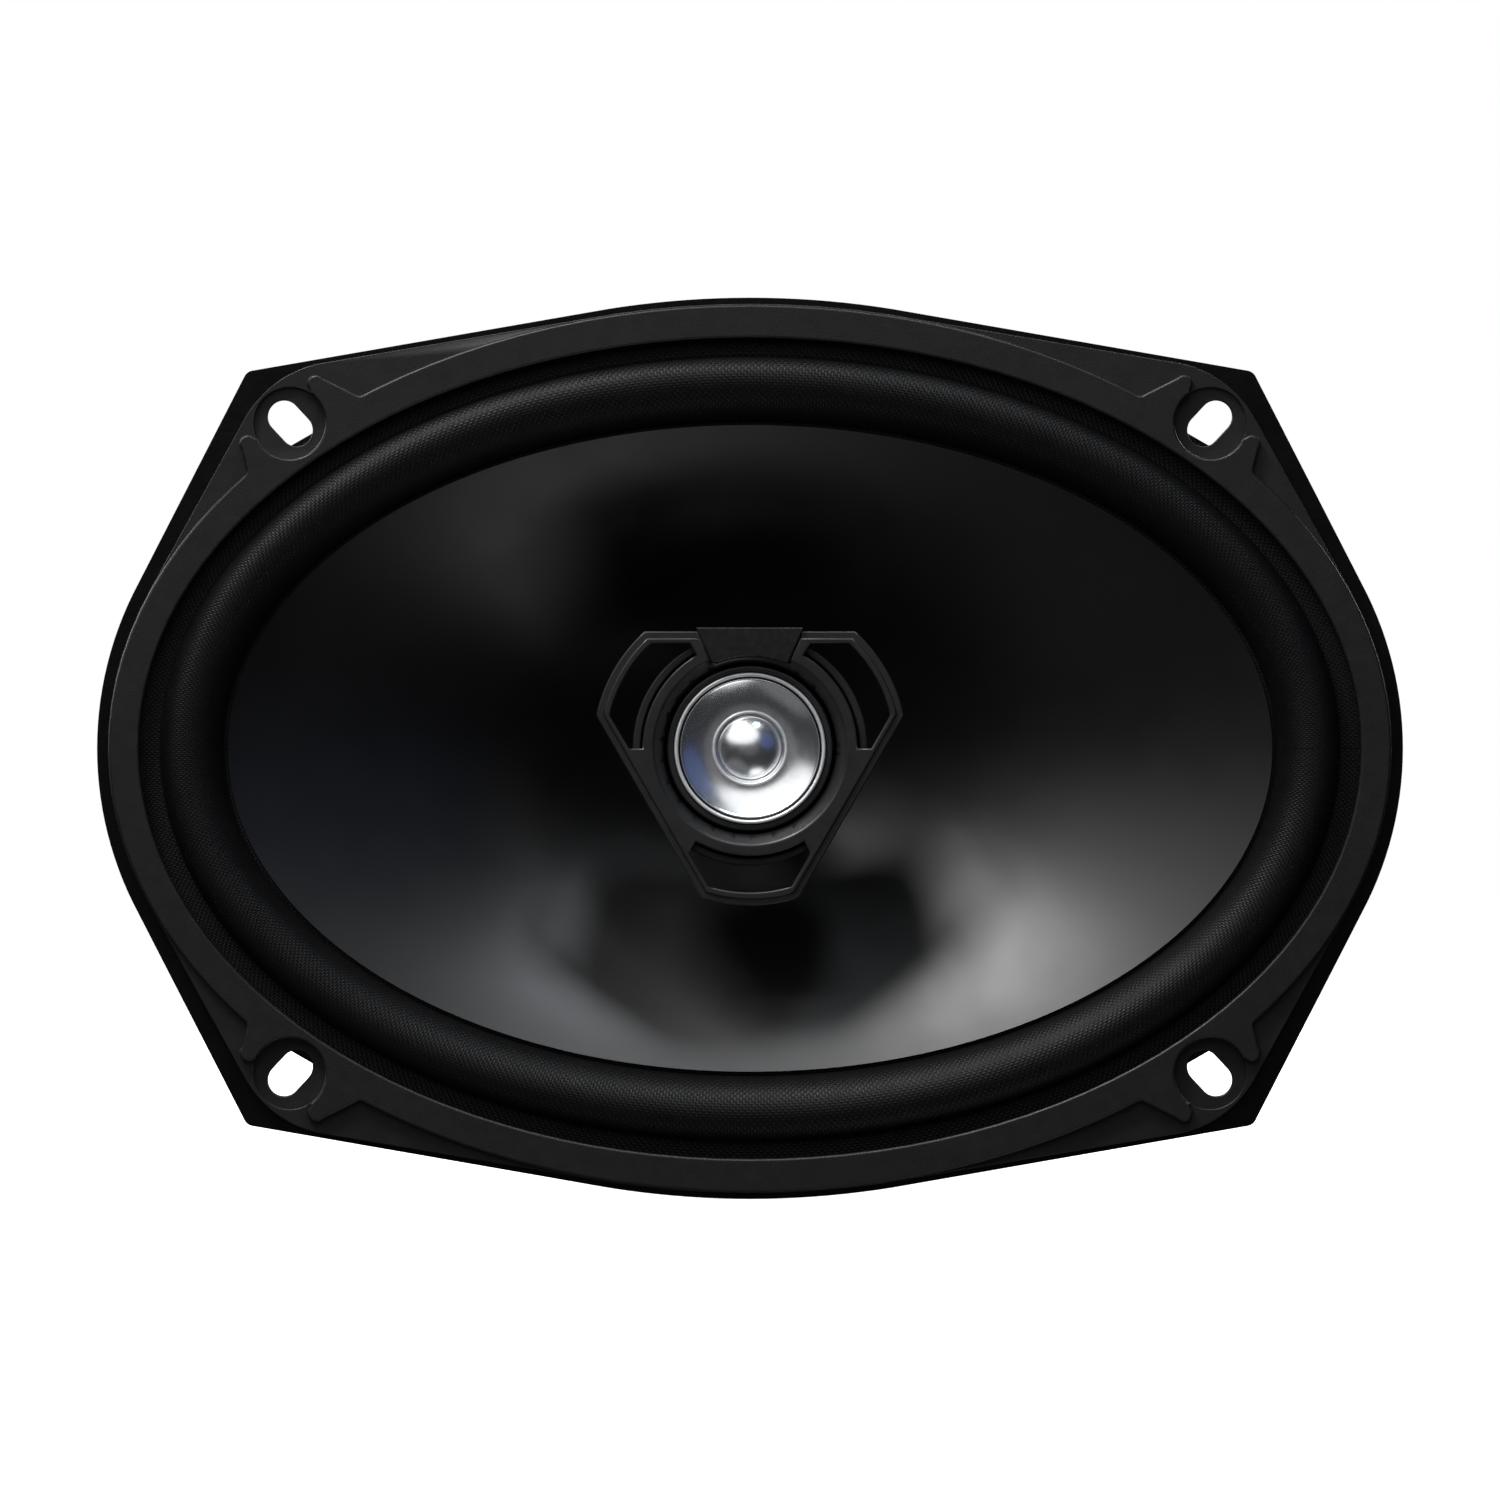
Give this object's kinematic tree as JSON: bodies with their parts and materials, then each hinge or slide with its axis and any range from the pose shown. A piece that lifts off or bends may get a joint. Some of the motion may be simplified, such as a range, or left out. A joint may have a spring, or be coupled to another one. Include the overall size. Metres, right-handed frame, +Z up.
{
  "type": "coaxial car speaker",
  "caption": "Oval coaxial car loudspeaker: stamped steel basket, sprung oval cone, post-mounted tweeter in a three-armed bracket, slotted flange and blade terminals.",
  "frame": {"origin": "centre of the flange's rear face, on the face that rests on the panel", "axes": "+X along the long axis of the oval, -Y out of the front towards the listener, +Z up along the short axis"},
  "size_m": [0.235, 0.0906, 0.1622],
  "materials": {
    "basket_steel": "satin black coating",
    "trim_plastic": "satin moulded",
    "surround_cloth": "coated woven cloth",
    "cone_film": "semi-gloss polypropylene",
    "dust_cloth": "open weave",
    "former_foil": "dull",
    "coil_copper": "enamelled copper wire",
    "spider_cloth": "resin-stiffened weave",
    "zinc_steel": "zinc plated",
    "ferrite": "ground",
    "post_plastic": "moulded",
    "bracket_plastic": "satin moulded",
    "badge_plastic": "semi-gloss, blank",
    "nickel_plate": "nickel plated",
    "bright_ring": "polished",
    "silver_film": "metallised film",
    "fibre_board": "pressed fibre board",
    "tinned_brass": "tinned",
    "capacitor_sleeve": "shrink sleeve",
    "tinsel_copper": "braided copper",
    "lead_insulation": "soft insulation"
  },
  "bodies": {
    "basket_assembly": {"basket": "basket_steel", "trim_ring": "trim_plastic", "surround": "surround_cloth", "spider": "spider_cloth", "top_plate": "zinc_steel", "ferrite_magnet": "ferrite", "t_yoke": "zinc_steel", "basket_rivets": "zinc_steel", "tweeter_post": "post_plastic", "post_nut": "zinc_steel", "tweeter_housing": "bracket_plastic", "tweeter_bracket": "bracket_plastic", "badge_plate": "badge_plastic", "tweeter_pot": "zinc_steel", "tweeter_magnet": "nickel_plate", "tweeter_pole_plate": "zinc_steel", "tweeter_frame": "bracket_plastic", "tweeter_bezel_ring": "bright_ring", "terminal_board": "fibre_board", "board_rivet": "zinc_steel", "positive_blade": "tinned_brass", "negative_blade": "tinned_brass", "blade_rivets": "tinned_brass", "crossover_capacitor": "capacitor_sleeve", "tinsel_leads": "tinsel_copper", "tweeter_leads": "lead_insulation"},
    "cone_assembly": {"cone": "cone_film", "dust_ring": "dust_cloth", "voice_coil_former": "former_foil", "voice_coil_winding": "coil_copper"},
    "tweeter_dome": {"tweeter_diaphragm": "silver_film", "tweeter_coil_ring": "bright_ring", "tweeter_voice_coil": "coil_copper"}
  },
  "joints": [
    {"name": "cone_travel", "type": "slide", "parent": "basket_assembly", "child": "cone_assembly", "axis": [0, -1, 0], "range_m": [-0.005, 0.005], "stiffness_N_per_m": 2500, "deforming": ["surround", "spider", "tinsel_leads"]},
    {"name": "tweeter_travel", "type": "slide", "parent": "basket_assembly", "child": "tweeter_dome", "axis": [0, -1, 0], "range_m": [-0.0003, 0.0003], "stiffness_N_per_m": 2000}
  ]
}
